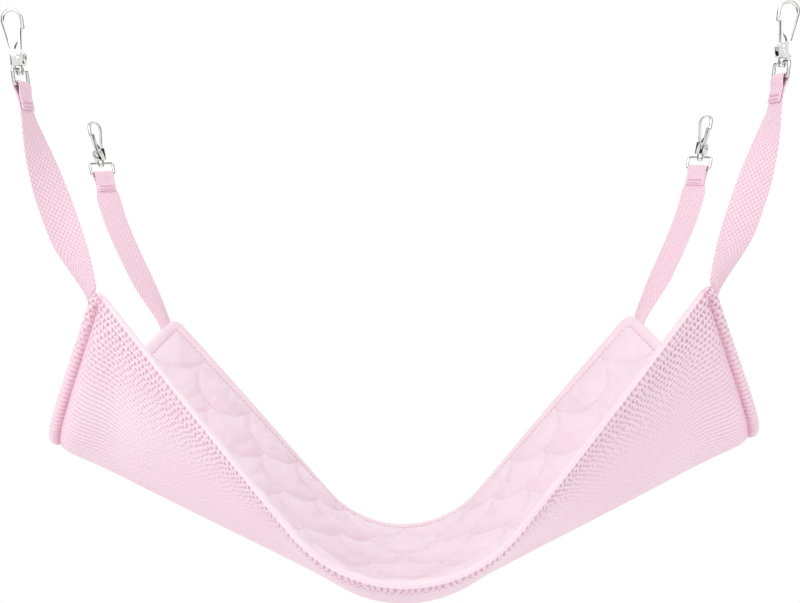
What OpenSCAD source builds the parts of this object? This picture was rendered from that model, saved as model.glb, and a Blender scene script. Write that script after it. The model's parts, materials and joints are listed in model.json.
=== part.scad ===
// Hanging cat hammock: a quilted pad slung from four webbing straps, each with a swivel snap hook.
// Millimetres, +Z up, +X along the pad, +Y to the back. The origin is over the middle of the pad,
// at the height of the bars that the hooks hang from.

/* [Pad] */
// Length of the flat pad
pad_l = 540; // [440:5:620]
// Width of the flat pad
pad_w = 346; // [290:2:400]
// Thickness of the ribbed air mesh on the underside
mesh_t = 3; // [2:0.5:5]
// Thickness of the wadding between the two faces
wadding_t = 4; // [2:0.5:6]
// Thickness of the wadding where the quilting stitches it down
sewn_t = 0.8; // [0.4:0.1:1.5]
// Width of a quilted scale, fitted to whole scales along the pad
scale_w = 56; // [46:1:66]
// Depth of a row of quilted scales, fitted to whole rows across the pad
scale_d = 32; // [28:1:48]
// Thickness of the quilted top fabric
panel_t = 1; // [0.6:0.1:2]
// Distance of the topstitch from the edge
hem_w = 8; // [6:0.5:12]
// Width of the pucker beside the topstitch
pucker_w = 5; // [3:0.5:8]
// Width over which the wadding reaches its full thickness
crown_w = 22; // [12:1:40]

/* [Hang of the pad] */
// Slope of the thread along the middle of the pad
centre_slope = 26; // [18:1:34]
// Slope of the thread along a long edge
edge_slope = 50; // [40:1:58]
// Radius that each thread rounds over at the bottom
bottom_r = 84; // [60:2:110]
// Height of the long edges over the middle, at the bottom
edge_lift = 30; // [15:1:45]
// Distance between the front and the back corners
corner_gap = 264; // [220:2:300]
// Length that the hem draws in along each half of a long edge
edge_draw = 10; // [0:1:16]
// Depth that each end is drawn in between its middle and its corners
end_draw = 4; // [0:1:8]
// Sharpness of the valley along the pad, from 0.2 sharp to 0.6 round
valley_round = 0.25; // [0.2:0.05:0.6]

/* [Webbing straps] */
// Width of the webbing
web_w = 20; // [16:1:25]
// Thickness of the webbing
web_t = 1.3; // [1:0.1:1.8]
// Length of a strap from the pad to the eye
strap_l = 134; // [110:1:180]
// Length of the end that is folded round the eye and sewn down
fold_l = 15; // [13:1:20]
// Distance of a strap from the corner of the pad
corner_inset = 5; // [3:1:12]
// Lean of the straps from upright
strap_lean = 22; // [10:1:32]
// Turn of the front straps' lean from sideways towards the front
front_splay = 52; // [0:1:70]
// Turn of the back straps' lean from sideways towards the back
back_splay = 3; // [0:1:70]
// Diameter of the sewing thread
thread_d = 0.6; // [0.4:0.1:1]
// Length of one stitch
stitch_l = 2.4; // [1.6:0.1:4]
// Distance of the first row of stitches from the end of the webbing
stitch_inset = 1.6; // [1:0.1:2.5]
// Distance between the two rows of stitches
stitch_rows = 2.6; // [1.6:0.1:3.4]

/* [Swivel eye] */
// Wire of the eye
eye_wire = 2; // [1.6:0.1:2.6]
// Width inside the eye
eye_w = 18; // [15:0.5:24]
// Height inside the eye
eye_h = 7.2; // [6.4:0.2:10]
// Bend radius of the eye's corners, at the middle of the wire
eye_r = 1.8; // [1.5:0.1:3]
// Diameter of the swivel boss
boss_d = 5.2; // [4.4:0.1:6.5]
// Height of the swivel boss
boss_h = 3.4; // [2.8:0.1:5]
// Depth of the boss below the eye's upper bar
boss_lip = 0.6; // [0.2:0.1:1]
// Diameter of the swivel rivet
rivet_d = 2.5; // [2:0.1:3]
// Diameter of the swivel rivet's head
rivet_head_d = 4.2; // [3.6:0.1:5]
// Thickness of the swivel rivet's head
rivet_head_t = 1.3; // [0.8:0.1:1.8]
// Turn of the front eyes from sideways
front_eye_turn = 82; // [30:1:90]
// Turn of the back eyes from sideways
back_eye_turn = 38; // [10:1:80]

/* [Snap hook] */
// Inside radius of the bow, for the bar it hangs on
bow_r = 5; // [4:0.1:6]
// Wire of the bow, spine and nose
hook_wire = 2.5; // [2.2:0.1:3.4]
// Depth of the flat on the inside of the wire
wire_flat = 0.7; // [0.5:0.05:0.9]
// Step down from the bow to the spine, all round
spine_step = 0.05; // [0.03:0.01:0.1]
// Height of the middle of the bow over the foot of the hook
hook_h = 27; // [24:0.5:34]
// Straight length of the nose
nose_l = 5.2; // [4:0.1:6.5]
// Half width of the hook's base on the spine side
base_w = 3.6; // [3:0.1:4.5]
// Thickness of the cheeks beside the gate
cheek_t = 1; // [0.8:0.1:1.5]
// Depth that the swivel rivet is pressed into the base
press_l = 3; // [2:0.1:3.4]
// Distance of the gate's pivot from the middle of the hook
pivot_x = 2; // [1.6:0.1:2.4]
// Height of the gate's pivot over the foot of the hook
pivot_h = 6.4; // [6:0.1:7.5]
// Radius of the ears round the gate's pivot
ear_r = 2.6; // [2.3:0.1:3.2]
// Height of the base's shoulder over its ears
shoulder_h = 1; // [0.5:0.1:2]
// Chamfer at the foot of the base
base_chamfer = 0.8; // [0.4:0.1:1.2]
// Lean of the hooks from upright
hook_lean = 11; // [0:1:20]
// Turn of the front hooks, gate side, from sideways
front_hook_turn = -5; // [-180:1:180]
// Turn of the back hooks, gate side, from sideways
back_hook_turn = 233; // [0:1:360]

/* [Gate] */
// Width of the gate
gate_w = 3.6; // [3:0.1:4.4]
// Thickness of the gate
gate_t = 1.6; // [1.2:0.1:2]
// Radius of the gate's barrel
barrel_r = 2; // [1.6:0.1:2.2]
// Distance of the gate's tip below the middle of the bow
gate_drop = 4.6; // [4.2:0.1:5.5]
// Diameter of the gate's pin
gate_pin_d = 1.6; // [1.2:0.1:2]
// Diameter of the pin's riveted heads
pin_head_d = 2.6; // [2.2:0.1:3.2]
// Thickness of the pin's riveted heads
pin_head_t = 0.4; // [0.3:0.1:0.8]
// Thickness of the leaf spring
leaf_t = 0.3; // [0.2:0.05:0.4]
// Width of the leaf spring
leaf_w = 2.4; // [1.6:0.1:3]
// Room behind the gate's barrel for the leaf spring to flex
leaf_room = 0.6; // [0.4:0.1:1]
// Angle that the leaf spring is bent through
leaf_bend = 60; // [45:1:70]

/* [Clearances] */
// Gap between sewn layers
layer_gap = 0.1; // [0.05:0.05:0.2]
// Gap between the pad's edge and a strap
seam_gap = 0.75; // [0.7:0.05:1]
// Gap between the eye's bar and the webbing round it
bar_gap = 0.25; // [0.2:0.05:0.5]
// Running clearance of a pin in its bore, on the radius
run_gap = 0.05; // [0.03:0.01:0.1]
// End play of the swivel
end_play = 0.2; // [0.15:0.05:0.4]
// Gap between the gate and the cheeks, nose and base
gate_gap = 0.25; // [0.15:0.05:0.4]

/* [Hidden] */
$fn = 48;

front = -1;
back = 1;
left = -1;
right = 1;

// Colours
mesh_pink = "#F3C3D8";
top_pink = "#F9E3EC";
web_pink = "#F2C4D8";
wadding_white = "#F6F4F2";
thread_pink = "#E9A9C6";
steel = "#C9CBCE";
spring_steel = "#9A9DA3";

// Quilted area, inside the pucker, and its counts of half scales and rows
quilt_l = pad_l - 2 * (hem_w + pucker_w);
quilt_w = pad_w - 2 * (hem_w + pucker_w);
half_scales = 2 * round(quilt_l / scale_w);
scale_rows = round(quilt_w / scale_d);
// Plain cells of the pad's grid along each edge: two in the hem and one in the pucker
edge_cells = 3;
hem_cells = 2;
// Counts along a strap and round its fold
strap_steps = 22;
wrap_steps = 4;
fold_steps = 6;
// Step of the difference used for slopes of the pad
slope_step = 0.01;
// Overshoot of a cut past the face it leaves by
cut = 1;

// Heights in a hook's own frame, over the middle of the eye's lower bar
eye_top_z = eye_h + eye_wire;
boss_z = eye_top_z - eye_wire / 2 - boss_lip;
foot_z = boss_z + boss_h + end_play;
bow_z = foot_z + hook_h;
pivot_z = foot_z + pivot_h;
tip_z = bow_z - gate_drop;
wire_c = bow_r + hook_wire / 2 - wire_flat;
slot_w = gate_w + 2 * gate_gap;
base_t = slot_w + 2 * cheek_t;
slot_floor_z = pivot_z - barrel_r - gate_gap;
base_top_z = pivot_z + ear_r + shoulder_h;
// The slot's back wall leaves room for the leaf spring behind the barrel
slot_back_x = pivot_x - barrel_r - gate_gap - leaf_t - leaf_room;
spine_x = slot_back_x - hook_wire / 2 + wire_flat / 2;
// Lean of the spine, tangent to the bow
spine_run = bow_z - pivot_z;
spine_lean = asin(wire_c / norm([spine_x, spine_run])) - atan(-spine_x / spine_run);
// Lean of the gate, so that its tip lies against the nose
gate_reach = [bow_r - gate_gap - pivot_x, tip_z - pivot_z];
gate_lean = acos(gate_t / 2 / norm(gate_reach)) - atan2(gate_reach.y, gate_reach.x);

// Webbing
fold_w = min(web_w, eye_w + eye_wire - 2 * eye_r - 2 * bar_gap);
lay = (web_t + layer_gap) / 2;
wrap_r = eye_wire / 2 + bar_gap + web_t / 2;
// Length below the bar in which the two layers come together
converge_l = 8;
// Length in which the webbing narrows to the eye, below and beside the sewn end
narrow_l = 5;
tuck_l = 3;
fold_zone = fold_l + narrow_l;

function unit(v) = v / norm(v);
function flat_part(v, axis) = unit(v - (v * axis) * axis);
function smooth(x) = let (c = min(max(x, 0), 1)) c * c * (3 - 2 * c);
function mix(a, b, f) = a + (b - a) * f;
function bezier(p, t) =
    pow(1 - t, 3) * p[0] + 3 * t * pow(1 - t, 2) * p[1] + 3 * t * t * (1 - t) * p[2] + pow(t, 3) * p[3];
function bezier_slope(p, t) =
    unit(pow(1 - t, 2) * (p[1] - p[0]) + 2 * t * (1 - t) * (p[2] - p[1]) + t * t * (p[3] - p[2]));

// The hang of the pad: each lengthwise thread is a straight run that rounds over at the bottom,
// and the threads near the long edges hang steeper than those in the middle
function valley(v) =
    let (t = 2 * abs(v) / pad_w, b = valley_round)
    (sqrt(t * t + b * b) - b) / (sqrt(1 + b * b) - b);
function hang(u, slope) =
    let (
        arc = min(abs(u), bottom_r * slope * PI / 180),
        turn = arc / bottom_r * 180 / PI,
        run = abs(u) - arc
    )
    [sign(u) * (bottom_r * sin(turn) + run * cos(slope)), bottom_r * (1 - cos(turn)) + run * sin(slope)];
function pad_shape(u, v) =
    let (
        rise = valley(v),
        draw = edge_draw * rise + 4 * end_draw * rise * (1 - rise),
        thread = hang(u * (1 - 2 * draw / pad_l), mix(centre_slope, edge_slope, rise)),
        gather = 1 - (1 - corner_gap / pad_w) * pow(2 * u / pad_l, 2)
    )
    [thread.x, v * gather, thread.y + edge_lift * rise];

function pad_along(u, v) = unit(pad_shape(u + slope_step, v) - pad_shape(u - slope_step, v));
function pad_across(u, v) = unit(pad_shape(u, v + slope_step) - pad_shape(u, v - slope_step));

// Height of the bows over the bottom of the pad, which sets the pad's place
strap_v = pad_w / 2 - corner_inset - web_w / 2;
seam_over_bottom = (pad_shape(pad_l / 2, strap_v) + pad_along(pad_l / 2, strap_v) * seam_gap).z;
bottom_z = -seam_over_bottom - strap_l * cos(strap_lean) - bow_z * cos(hook_lean);

function pad_point(u, v) = pad_shape(u, v) + [0, 0, bottom_z];
function pad_normal(u, v) = unit(cross(pad_along(u, v), pad_across(u, v)));
function edge_gap(u, v) = min(pad_l / 2 - abs(u), pad_w / 2 - abs(v));

// Where the grid lines of the pad lie: edge, hem and topstitch, then even steps between the puckers
function edge_lines(half) = [-half, hem_w / 2 - half, hem_w - half];
function grid_lines(length, quilted, steps) = concat(
    edge_lines(length / 2),
    [for (i = [0:steps]) (i / steps - 0.5) * quilted],
    -1 * [for (i = [edge_cells - 1:-1:0]) edge_lines(length / 2)[i]]
);
function without_hem(list) = [for (i = [hem_cells:len(list) - 1 - hem_cells]) list[i]];
lines_u = grid_lines(pad_l, quilt_l, half_scales);
lines_v = grid_lines(pad_w, quilt_w, scale_rows);

// Offsets from the seam surface at a distance from the edge, on a stitch line or beside it
function mesh_drop(d) =
    mesh_t * lookup(d, [[0, 0.5], [hem_w / 2, 0.95], [hem_w, 0.55], [hem_w + pucker_w, 1]]);
function wadding_rise(d, sewn) =
    layer_gap + (sewn ? sewn_t : wadding_t)
        * lookup(d, [[hem_w, 0.1], [hem_w + pucker_w, 0.5], [hem_w + crown_w, 1]]);
function panel_rise(d, sewn) = layer_gap + (d < hem_w - slope_step
    ? layer_gap + panel_t * lookup(d, [[0, 0], [hem_w / 2, 0.4]])
    : wadding_rise(d, sewn));

// A closed solid between two offset surfaces on a grid of lines. The quilting is rows of arcs that
// hang from the row behind: each quilted cell has a quarter arc across it, from one grid point where
// the arcs meet to the next, with one point of its own on the arc
module layer(us, vs, border, low, high) {
    nu = len(us);
    nv = len(vs);
    cells_v = nv - 1 - 2 * border;
    corners = [[0, 0], [0, 1], [1, 1], [1, 0]];
    bulge = 1 - cos(45);
    function quilted(c) = c.x >= border && c.x < nu - 1 - border && c.y >= border && c.y < nv - 1 - border;
    function on_quilt(i, j) = i >= border && i < nu - border && j >= border && j < nv - border;
    function meets(i, j) = (i + nv - 1 - j) % 2 == 1;
    function arc_point(c) =
        let (near = meets(c.x, c.y + 1) ? c.x : c.x + 1, far = 2 * c.x + 1 - near)
        [mix(us[near], us[far], bulge), mix(vs[c.y], vs[c.y + 1], bulge)];
    function raised(u, v, k, sewn) =
        pad_point(u, v) + pad_normal(u, v) * (k == 0 ? low : high)(edge_gap(u, v), sewn);

    cells = [for (i = [0:nu - 2], j = [0:nv - 2]) [i, j]];
    quilt = [for (c = cells) if (quilted(c)) c];
    plain = [for (c = cells) if (!quilted(c)) c];
    side_n = nu * nv + len(quilt);
    points = [
        for (k = [0, 1]) each concat(
            [for (i = [0:nu - 1], j = [0:nv - 1]) raised(us[i], vs[j], k, on_quilt(i, j) && meets(i, j))],
            [for (c = quilt) let (p = arc_point(c)) raised(p.x, p.y, k, true)]
        )
    ];
    function at(k, i, j) = k * side_n + i * nv + j;
    function corner(k, c, n) = let (p = c + corners[n % 4]) at(k, p.x, p.y);
    function middle(k, c) = k * side_n + nu * nv + (c.x - border) * cells_v + c.y - border;
    faces = concat(
        [for (c = quilt, n = [0:3]) [middle(1, c), corner(1, c, n), corner(1, c, n + 1)]],
        [for (c = quilt, n = [0:3]) [middle(0, c), corner(0, c, n + 1), corner(0, c, n)]],
        [for (c = plain, n = [0, 2]) [corner(1, c, n), corner(1, c, n + 1), corner(1, c, n + 2)]],
        [for (c = plain, n = [0, 2]) [corner(0, c, n + 2), corner(0, c, n + 1), corner(0, c, n)]],
        [for (j = [0:nv - 2]) [at(0, 0, j), at(0, 0, j + 1), at(1, 0, j + 1)]],
        [for (j = [0:nv - 2]) [at(0, 0, j), at(1, 0, j + 1), at(1, 0, j)]],
        [for (j = [0:nv - 2]) [at(0, nu - 1, j), at(1, nu - 1, j + 1), at(0, nu - 1, j + 1)]],
        [for (j = [0:nv - 2]) [at(0, nu - 1, j), at(1, nu - 1, j), at(1, nu - 1, j + 1)]],
        [for (i = [0:nu - 2]) [at(0, i, 0), at(1, i, 0), at(1, i + 1, 0)]],
        [for (i = [0:nu - 2]) [at(0, i, 0), at(1, i + 1, 0), at(0, i + 1, 0)]],
        [for (i = [0:nu - 2]) [at(0, i, nv - 1), at(1, i + 1, nv - 1), at(1, i, nv - 1)]],
        [for (i = [0:nu - 2]) [at(0, i, nv - 1), at(0, i + 1, nv - 1), at(1, i + 1, nv - 1)]]
    );
    polyhedron(points, faces);
}

// Ribbed air mesh on the underside, with the hem pressed down along its topstitch
module mesh_panel() {
    color(mesh_pink)
        layer(lines_u, lines_v, edge_cells, function(d, sewn) -mesh_drop(d), function(d, sewn) 0);
}

// Wadding that stops at the topstitch, pressed down along the quilting
module wadding() {
    us = without_hem(lines_u);
    vs = without_hem(lines_v);
    color(wadding_white)
        layer(us, vs, edge_cells - hem_cells, function(d, sewn) layer_gap,
            function(d, sewn) wadding_rise(d, sewn));
}

// Quilted top fabric over the wadding, down on the mesh along the hem
module quilted_panel() {
    color(top_pink)
        layer(lines_u, lines_v, edge_cells, function(d, sewn) panel_rise(d, sewn),
            function(d, sewn) panel_rise(d, sewn) + panel_t);
}

function splay(row) = row == front ? front_splay : back_splay;
function eye_turn(row) = row == front ? front_eye_turn : back_eye_turn;
function hook_turn(row) = row == front ? front_hook_turn : back_hook_turn;
function lean_side(row) = [-cos(splay(row)), row * sin(splay(row)), 0];
function leaning(row, angle) = lean_side(row) * sin(angle) + [0, 0, cos(angle)];
function seam_point(row) =
    let (u = -pad_l / 2, v = row * strap_v)
    pad_point(u, v) - pad_along(u, v) * seam_gap;
function seam_along(row) = row * pad_across(-pad_l / 2, row * strap_v);
function bar_point(row) = seam_point(row) + leaning(row, strap_lean) * strap_l;
// A level direction at an angle from +X, tipped with the hook's lean
function tipped(row, angle) =
    let (
        d = [cos(angle), sin(angle), 0],
        side = lean_side(row),
        over = (d * side) * side
    )
    d - over + over * cos(hook_lean) - [0, 0, (d * side) * sin(hook_lean)];

// One strap: a ribbon from the seam, turning as it rises, then round the eye's bar and down again
function strap_line(row) =
    let (
        bar = bar_point(row),
        e = tipped(row, eye_turn(row)),
        up = flat_part(leaning(row, strap_lean), e),
        tail_side = cross(e, up),
        top = bar - up * fold_zone - tail_side * lay,
        foot = seam_point(row),
        reach = norm(top - foot) / 3
    )
    [foot, foot + leaning(row, strap_lean) * reach, top - up * reach, top];
// Angle of a width direction about the strap, from +X
function roll(w, t) =
    let (x = flat_part([1, 0, 0], t))
    atan2(w * cross(t, x), w * x);
function rolled(angle, t) =
    let (x = flat_part([1, 0, 0], t))
    x * cos(angle) + cross(t, x) * sin(angle);
// A station holds the middle, the half width and the half thickness
function station(middle, width, travel) = [middle, width, unit(cross(travel, width)) * web_t / 2];
function strap_run(row) =
    let (
        line = strap_line(row),
        seam = seam_along(row),
        first = bezier_slope(line, 0),
        skew = (seam * first) / norm(seam - (seam * first) * first),
        roll_seam = roll(seam, first),
        roll_top = roll(tipped(row, eye_turn(row)), bezier_slope(line, 1))
    )
    [
        for (i = [0:strap_steps - 1])
            let (
                f = i / strap_steps,
                travel = bezier_slope(line, f),
                across = rolled(mix(roll_seam, roll_top, f), travel) + travel * skew * (1 - smooth(f * 3))
            )
            station(bezier(line, f), across * web_w / 2, travel)
    ];
function strap_fold(row) =
    let (
        bar = bar_point(row),
        e = tipped(row, eye_turn(row)),
        up = flat_part(leaning(row, strap_lean), e),
        tail_side = cross(e, up),
        drops = concat(
            [fold_zone, fold_l, (fold_l + converge_l) / 2],
            [for (i = [wrap_steps:-1:1]) converge_l * i / wrap_steps]
        ),
        offset_at = function(drop) mix(wrap_r, lay, smooth(drop / converge_l)),
        half = function(drop) mix(fold_w, web_w, smooth((drop - fold_l + tuck_l) / (narrow_l + tuck_l))) / 2
    )
    concat(
        [for (d = drops) station(bar - up * d - tail_side * offset_at(d), e * half(d), up)],
        [
            for (i = [0:fold_steps])
                let (a = 180 * i / fold_steps)
                station(
                    bar + (up * sin(a) - tail_side * cos(a)) * wrap_r,
                    e * fold_w / 2,
                    up * cos(a) + tail_side * sin(a)
                )
        ],
        [
            for (i = [len(drops) - 1:-1:1])
                station(bar - up * drops[i] + tail_side * offset_at(drops[i]), e * fold_w / 2, -up)
        ]
    );

// A closed ribbon through stations
module ribbon(stations) {
    n = len(stations);
    points = [
        for (s = stations)
            each [s[0] + s[1] + s[2], s[0] - s[1] + s[2], s[0] - s[1] - s[2], s[0] + s[1] - s[2]]
    ];
    sides = [for (i = [0:n - 2], k = [0:3]) [i * 4 + k, i * 4 + (k + 1) % 4]];
    last = (n - 1) * 4;
    faces = concat(
        [for (s = sides) [s[0], s[0] + 4, s[1] + 4]],
        [for (s = sides) [s[0], s[1] + 4, s[1]]],
        [[0, 1, 2], [0, 2, 3], [last + 3, last + 2, last + 1], [last + 3, last + 1, last]]
    );
    polyhedron(points, faces);
}

module on_side(side) {
    mirror([side == right ? 1 : 0, 0, 0]) children();
}

module strap(row, side) {
    color(web_pink) on_side(side) ribbon(concat(strap_run(row), strap_fold(row)));
}

// Two rows of stitches across the sewn end of a strap
module stitching(row, side) {
    e = tipped(row, eye_turn(row));
    up = flat_part(leaning(row, strap_lean), e);
    tail_side = cross(e, up);
    pitch = stitch_l + thread_d;
    count = floor((fold_w - 2 * thread_d) / pitch);
    rows = [fold_l - stitch_inset, fold_l - stitch_inset - stitch_rows];
    proud = lay + web_t / 2 + thread_d / 2 + layer_gap / 2;
    color(thread_pink) on_side(side)
        for (drop = rows, i = [0:count - 1])
            translate(bar_point(row) - up * drop + tail_side * proud + e * ((i - (count - 1) / 2) * pitch))
                rotate([0, acos(e.z), atan2(e.y, e.x)])
                    cylinder(d = thread_d, h = stitch_l, center = true, $fn = 16);
}

// Puts a piece of the eye or hook at its corner: turned on the swivel, leaning, over the eye's bar
module at_corner(row, side, turn) {
    side_axis = lean_side(row);
    on_side(side)
        translate(bar_point(row))
            rotate(a = hook_lean, v = [-side_axis.y, side_axis.x, 0])
                rotate([0, 0, turn])
                    children();
}

module eye_bar(length) {
    rotate([0, 90, 0]) cylinder(d = eye_wire, h = length, center = true);
}

// Rectangular wire eye with a bored boss for the swivel
module eye(row, side) {
    half_w = eye_w / 2 + eye_wire / 2;
    color(steel) at_corner(row, side, eye_turn(row)) difference() {
        union() {
            for (z = [0, eye_top_z]) translate([0, 0, z]) eye_bar(2 * (half_w - eye_r));
            for (x = [-half_w, half_w])
                translate([x, 0, eye_r]) cylinder(d = eye_wire, h = eye_top_z - 2 * eye_r);
            for (s = [-1, 1], t = [0, 1])
                translate([s * (half_w - eye_r), 0, t == 1 ? eye_top_z - eye_r : eye_r])
                    rotate([90, t == 1 ? (s > 0 ? 0 : -90) : (s > 0 ? 90 : 180), 0])
                        rotate_extrude(angle = 90) translate([eye_r, 0]) circle(d = eye_wire);
            translate([0, 0, boss_z]) cylinder(d = boss_d, h = boss_h);
        }
        translate([0, 0, boss_z - cut]) cylinder(d = rivet_d + 2 * run_gap, h = boss_h + 2 * cut);
    }
}

// Rivet that holds the hook on the eye and lets it turn
module swivel_rivet(row, side) {
    head_top = boss_z - end_play;
    color(steel) at_corner(row, side, hook_turn(row)) union() {
        translate([0, 0, head_top - rivet_head_t]) cylinder(d = rivet_head_d, h = rivet_head_t);
        translate([0, 0, head_top - rivet_head_t / 2])
            cylinder(d = rivet_d, h = foot_z + press_l - head_top + rivet_head_t / 2);
    }
}

// Section of the hook's wire, round with a flat on the inside, at its place from the middle of the bow
module wire_section(step = 0) {
    intersection() {
        translate([wire_c, 0]) circle(d = hook_wire - 2 * step);
        translate([bow_r + step, -hook_wire]) square(2 * hook_wire);
    }
}

module hook_base() {
    rotate([90, 0, 0]) linear_extrude(base_t, center = true) union() {
        polygon([
            [-base_w + base_chamfer, foot_z], [base_w - base_chamfer, foot_z],
            [base_w, foot_z + base_chamfer],
            [pivot_x + ear_r, pivot_z], [pivot_x, pivot_z + ear_r], [slot_back_x, base_top_z],
            [spine_x - hook_wire / 2, base_top_z], [-base_w, foot_z + base_chamfer]
        ]);
        translate([pivot_x, pivot_z]) circle(r = ear_r);
    }
}

// Snap hook: base with a slot for the gate, spine, bow and nose
module hook(row, side) {
    spine_l = norm([spine_x, spine_run]) * cos(asin(wire_c / norm([spine_x, spine_run])));
    // The spine starts inside the bow, so that the two are one piece
    lap = 0.3;
    color(steel) at_corner(row, side, hook_turn(row)) difference() {
        union() {
            hook_base();
            translate([0, 0, bow_z]) {
                rotate([90, 0, 0]) rotate_extrude(angle = 180 + spine_lean) wire_section();
                rotate([0, 180, 0]) linear_extrude(nose_l) mirror([1, 0]) wire_section();
                intersection() {
                    translate([wire_c, 0, -nose_l]) sphere(d = hook_wire);
                    translate([bow_r, -hook_wire, -nose_l - hook_wire]) cube(2 * hook_wire);
                }
                rotate([0, 180 - spine_lean, 0]) translate([0, 0, -lap])
                    linear_extrude(spine_l + lap) wire_section(spine_step);
            }
        }
        translate([slot_back_x, -slot_w / 2, slot_floor_z])
            cube([2 * base_w, slot_w, base_top_z - slot_floor_z + shoulder_h]);
        translate([pivot_x, 0, pivot_z])
            rotate([90, 0, 0]) cylinder(d = gate_pin_d, h = base_t + 2 * cut, center = true);
        translate([0, 0, foot_z - cut]) cylinder(d = rivet_d, h = press_l + cut);
    }
}

// Gate that swings in from the nose on its barrel
module gate(row, side) {
    lever_l = (tip_z - pivot_z) / cos(gate_lean) - gate_t / 2;
    color(steel) at_corner(row, side, hook_turn(row))
        translate([pivot_x, 0, pivot_z]) rotate([0, gate_lean, 0]) difference() {
            rotate([90, 0, 0]) linear_extrude(gate_w, center = true) union() {
                circle(r = barrel_r);
                translate([-gate_t / 2, 0]) square([gate_t, lever_l]);
                translate([0, lever_l]) circle(d = gate_t);
            }
            rotate([90, 0, 0]) cylinder(d = gate_pin_d + 2 * run_gap, h = gate_w + 2 * cut, center = true);
        }
}

// Pin that the gate turns on, riveted over at both cheeks
module gate_pin(row, side) {
    color(steel) at_corner(row, side, hook_turn(row))
        translate([pivot_x, 0, pivot_z]) rotate([90, 0, 0]) union() {
            cylinder(d = gate_pin_d, h = base_t + pin_head_t, center = true);
            for (s = [-1, 1])
                translate([0, 0, s * (base_t + pin_head_t) / 2])
                    cylinder(d = pin_head_d, h = pin_head_t, center = true);
        }
}

// Leaf spring from the back of the slot to the gate
module gate_spring(row, side) {
    leg_z = base_top_z - shoulder_h;
    face_x = pivot_x - gate_t / 2 / cos(gate_lean) + (leg_z - pivot_z) * tan(gate_lean);
    leaf_x = slot_back_x + leaf_t / 2;
    reach = face_x - leaf_x - layer_gap - leaf_t / 2 * cos(leaf_bend);
    bend_r = reach / (1 - cos(leaf_bend) - sin(leaf_bend) * tan(gate_lean));
    arc_steps = 8;
    function arc(r) = [
        for (i = [0:arc_steps])
            let (a = leaf_bend * i / arc_steps)
            [leaf_x + bend_r - r * cos(a), leg_z + r * sin(a)]
    ];
    outer = arc(bend_r + leaf_t / 2);
    inner = arc(bend_r - leaf_t / 2);
    color(spring_steel) at_corner(row, side, hook_turn(row))
        rotate([90, 0, 0]) linear_extrude(leaf_w, center = true) polygon(concat(
            [[leaf_x + leaf_t / 2, slot_floor_z], [leaf_x - leaf_t / 2, slot_floor_z]],
            outer,
            [for (i = [arc_steps:-1:0]) inner[i]]
        ));
}

mesh_panel();
wadding();
quilted_panel();

strap(front, left);  // front_left_strap
stitching(front, left);  // front_left_stitching
eye(front, left);  // front_left_eye
swivel_rivet(front, left);  // front_left_swivel_rivet
hook(front, left);  // front_left_hook
gate(front, left);  // front_left_gate
gate_pin(front, left);  // front_left_gate_pin
gate_spring(front, left);  // front_left_gate_spring

strap(front, right);  // front_right_strap
stitching(front, right);  // front_right_stitching
eye(front, right);  // front_right_eye
swivel_rivet(front, right);  // front_right_swivel_rivet
hook(front, right);  // front_right_hook
gate(front, right);  // front_right_gate
gate_pin(front, right);  // front_right_gate_pin
gate_spring(front, right);  // front_right_gate_spring

strap(back, left);  // back_left_strap
stitching(back, left);  // back_left_stitching
eye(back, left);  // back_left_eye
swivel_rivet(back, left);  // back_left_swivel_rivet
hook(back, left);  // back_left_hook
gate(back, left);  // back_left_gate
gate_pin(back, left);  // back_left_gate_pin
gate_spring(back, left);  // back_left_gate_spring

strap(back, right);  // back_right_strap
stitching(back, right);  // back_right_stitching
eye(back, right);  // back_right_eye
swivel_rivet(back, right);  // back_right_swivel_rivet
hook(back, right);  // back_right_hook
gate(back, right);  // back_right_gate
gate_pin(back, right);  // back_right_gate_pin
gate_spring(back, right);  // back_right_gate_spring
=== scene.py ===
import json
import math

import bpy
import numpy as np
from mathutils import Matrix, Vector
from mathutils.kdtree import KDTree


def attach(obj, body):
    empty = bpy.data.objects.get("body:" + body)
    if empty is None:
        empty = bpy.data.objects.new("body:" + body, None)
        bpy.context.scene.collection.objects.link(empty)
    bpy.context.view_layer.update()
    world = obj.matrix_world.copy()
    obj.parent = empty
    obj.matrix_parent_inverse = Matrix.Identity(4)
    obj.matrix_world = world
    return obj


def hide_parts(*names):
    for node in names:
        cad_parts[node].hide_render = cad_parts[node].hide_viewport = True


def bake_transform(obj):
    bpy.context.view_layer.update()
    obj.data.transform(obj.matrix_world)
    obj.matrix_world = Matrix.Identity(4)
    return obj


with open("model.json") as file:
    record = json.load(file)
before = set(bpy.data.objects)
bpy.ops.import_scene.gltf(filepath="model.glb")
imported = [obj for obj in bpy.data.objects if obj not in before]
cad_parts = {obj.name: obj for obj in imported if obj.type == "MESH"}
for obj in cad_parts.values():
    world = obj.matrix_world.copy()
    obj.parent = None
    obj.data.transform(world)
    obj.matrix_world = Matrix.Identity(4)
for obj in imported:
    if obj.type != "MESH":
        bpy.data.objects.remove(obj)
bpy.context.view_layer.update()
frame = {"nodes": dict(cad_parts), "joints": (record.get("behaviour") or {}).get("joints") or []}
joints = {joint["name"]: joint for joint in frame["joints"]}
mm = 0.001
print("frame loaded,", len(frame["nodes"]), "nodes")


# helpers for meshes, sizes in millimetres

def unit(v):
    return v / np.linalg.norm(v, axis=-1, keepdims=True)


def smooth(x):
    c = np.clip(x, 0, 1)
    return c * c * (3 - 2 * c)


def fade(x, start, reach):
    # 0 up to the start, then a soft rise to 1 over the reach
    return smooth((x - start) / reach)


def deselect():
    if bpy.context.object and bpy.context.object.mode != "OBJECT":
        bpy.ops.object.mode_set(mode="OBJECT")
    bpy.ops.object.select_all(action="DESELECT")


def pickOnly(piece):
    deselect()
    piece.select_set(True)
    bpy.context.view_layer.objects.active = piece


def applyModifiers(piece):
    pickOnly(piece)
    for modifier in list(piece.modifiers):
        bpy.ops.object.modifier_apply(modifier=modifier.name)


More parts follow.
